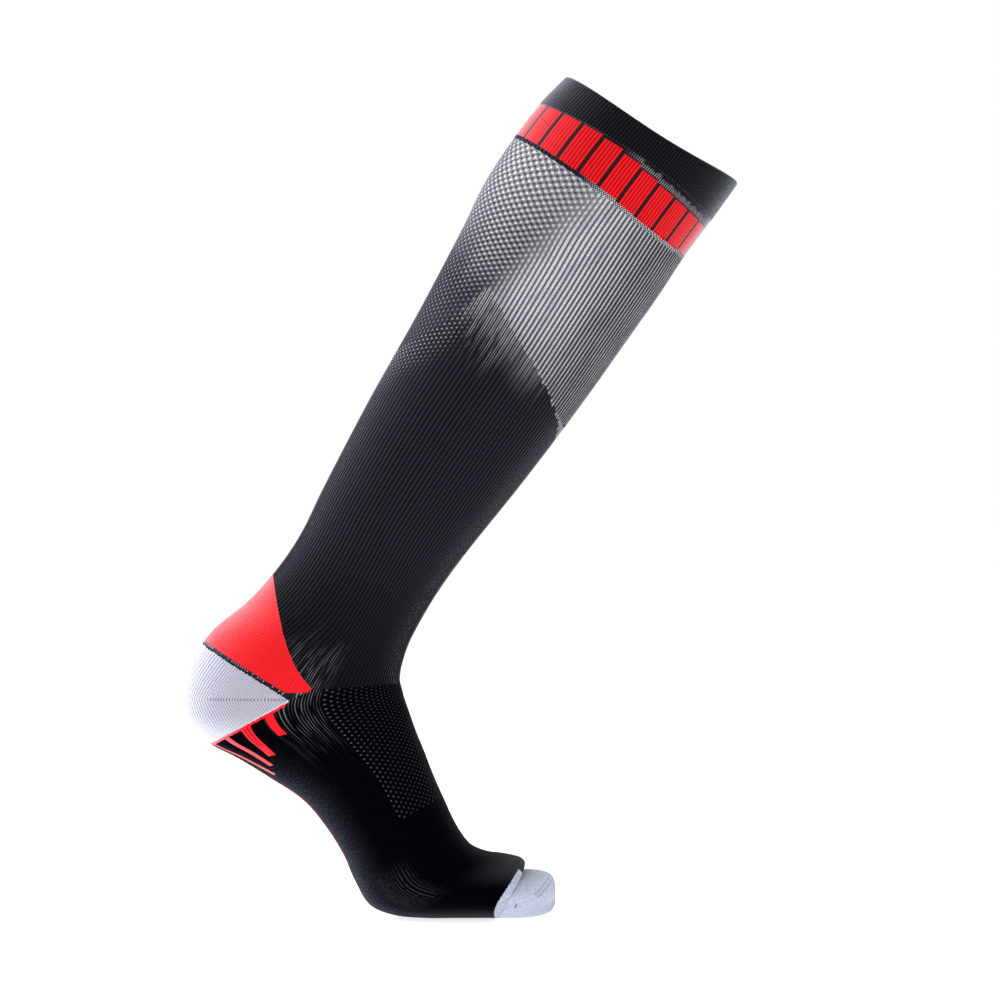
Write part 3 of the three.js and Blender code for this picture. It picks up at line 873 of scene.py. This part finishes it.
def toe_material():
    k = Knit("toe_grey_knit", sheen=0.5, sheen_roughness=0.35, specular=0.04)
    # The gore: two slanted seams with stitches across them
    gore = k.line_distance(*GORE_LINE) + 1.9
    reach = k.line_distance(*GORE_END).size().under(5.8, 6.6)
    seams = (gore.size() - 1.3).size().under(0.2, 0.55)
    sewing = (k.x + k.z * 0.6).wave(1.7).above(0.5, 0.9) * gore.size().under(1.2, 1.5)
    grey = toe_grey(k, (219, 224, 242), (178, 185, 206))
    colour = k.mix((seams * 0.5).most(sewing * 0.35) * reach, grey, (96, 98, 116))
    # A small pucker near the sole, drawn only as a painted shadow
    from_x = k.x - PUCKER[0]
    from_z = k.z - PUCKER[1]
    across = from_x * 0.87 - from_z * 0.49
    up = from_x * 0.49 + from_z * 0.87
    pucker_shadow = (across * across * 5 + up * up * 0.4).under(0.4, 1.4)
    colour = k.mix(pucker_shadow * 0.85, colour, (60, 62, 80))
    return k.finish(colour, stitches(k, FOOT_ROWS), 0.2)


materials = {
    "welt": welt_material(), "band": band_material(), "calf": calf_material(), "leg": leg_material(),
    "patch": patch_material(), "heel": heel_material(), "foot": foot_material(), "toe": toe_material(),
}
for name, piece in pieces.items():
    piece.data.materials.append(materials[name])


# Ground, light and camera

def plain_material(name, colour, glow):
    material = bpy.data.materials.new(name)
    material.use_nodes = True
    shader = material.node_tree.nodes["Principled BSDF"]
    shader.inputs["Base Color"].default_value = (colour, colour, colour, 1)
    shader.inputs["Roughness"].default_value = 1
    shader.inputs["Specular IOR Level"].default_value = 0
    shader.inputs["Emission Color"].default_value = (1, 1, 1, 1)
    shader.inputs["Emission Strength"].default_value = glow
    return material


FLOOR_HALF = 8
FLOOR_DROP = 0.0002  # keeps the floor just clear of the sole

floor_corners = [(x * FLOOR_HALF, y * FLOOR_HALF, 0) for x, y in ((-1, -1), (1, -1), (1, 1), (-1, 1))]
floor_mesh = bpy.data.meshes.new("floor")
floor_mesh.from_pydata(floor_corners, [], [(0, 1, 2, 3)])
floor = bpy.data.objects.new("floor", floor_mesh)
floor.location = (0, 0, FLOOR - FLOOR_DROP)
bpy.context.scene.collection.objects.link(floor)
floor_mesh.materials.append(plain_material("pale_floor", 0.55, 0.78))


def area_light(name, place, target, size, power):
    light = bpy.data.lights.new(name, "AREA")
    light.shape = "RECTANGLE"
    light.size, light.size_y = size
    light.energy = power
    lamp = bpy.data.objects.new(name, light)
    lamp.location = place
    way = np.array(target, float) - np.array(place, float)
    pitch = math.atan2(math.hypot(way[0], way[1]), -way[2])
    lamp.rotation_euler = (pitch, 0, math.atan2(-way[0], way[1]))
    bpy.context.scene.collection.objects.link(lamp)


# Name, place, size and power of each light
LIGHTS = [
    ("key", (-1.0, -2.2, 1.1), (1.4, 1.4), 20),
    ("fill", (1.6, -1.8, 0.2), (1.4, 1.4), 6),
    ("rim_left", (-1.8, 0.5, 0.2), (0.6, 2.0), 76),
    ("rim_right", (1.5, 1.0, 0.3), (0.6, 2.0), 16),
]
for name, place, size, power in LIGHTS:
    area_light(name, place, (VIEW_CENTRE[0], 0, VIEW_CENTRE[1]), size, power)

SKY_LIGHT = 0.45  # how strongly the white surroundings light the stocking
SKY_SEEN = 1.0  # how bright the camera sees them

world = bpy.data.worlds.new("studio")
bpy.context.scene.world = world
world.use_nodes = True
nodes, links = world.node_tree.nodes, world.node_tree.links
seen = nodes.new("ShaderNodeLightPath")
strength = nodes.new("ShaderNodeMapRange")
strength.inputs["To Min"].default_value = SKY_LIGHT
strength.inputs["To Max"].default_value = SKY_SEEN
links.new(seen.outputs["Is Camera Ray"], strength.inputs["Value"])
links.new(strength.outputs["Result"], nodes["Background"].inputs["Strength"])
nodes["Background"].inputs["Color"].default_value = (1, 1, 1, 1)

camera_data = bpy.data.cameras.new("camera")
camera_data.sensor_width = SENSOR
camera_data.lens = SENSOR * DISTANCE / FIELD
camera = bpy.data.objects.new("camera", camera_data)
camera.location = (VIEW_CENTRE[0], -DISTANCE, VIEW_CENTRE[1])
camera.rotation_euler = (math.pi / 2, 0, 0)
bpy.context.scene.collection.objects.link(camera)
bpy.context.scene.camera = camera
bpy.context.scene.view_settings.view_transform = "Standard"
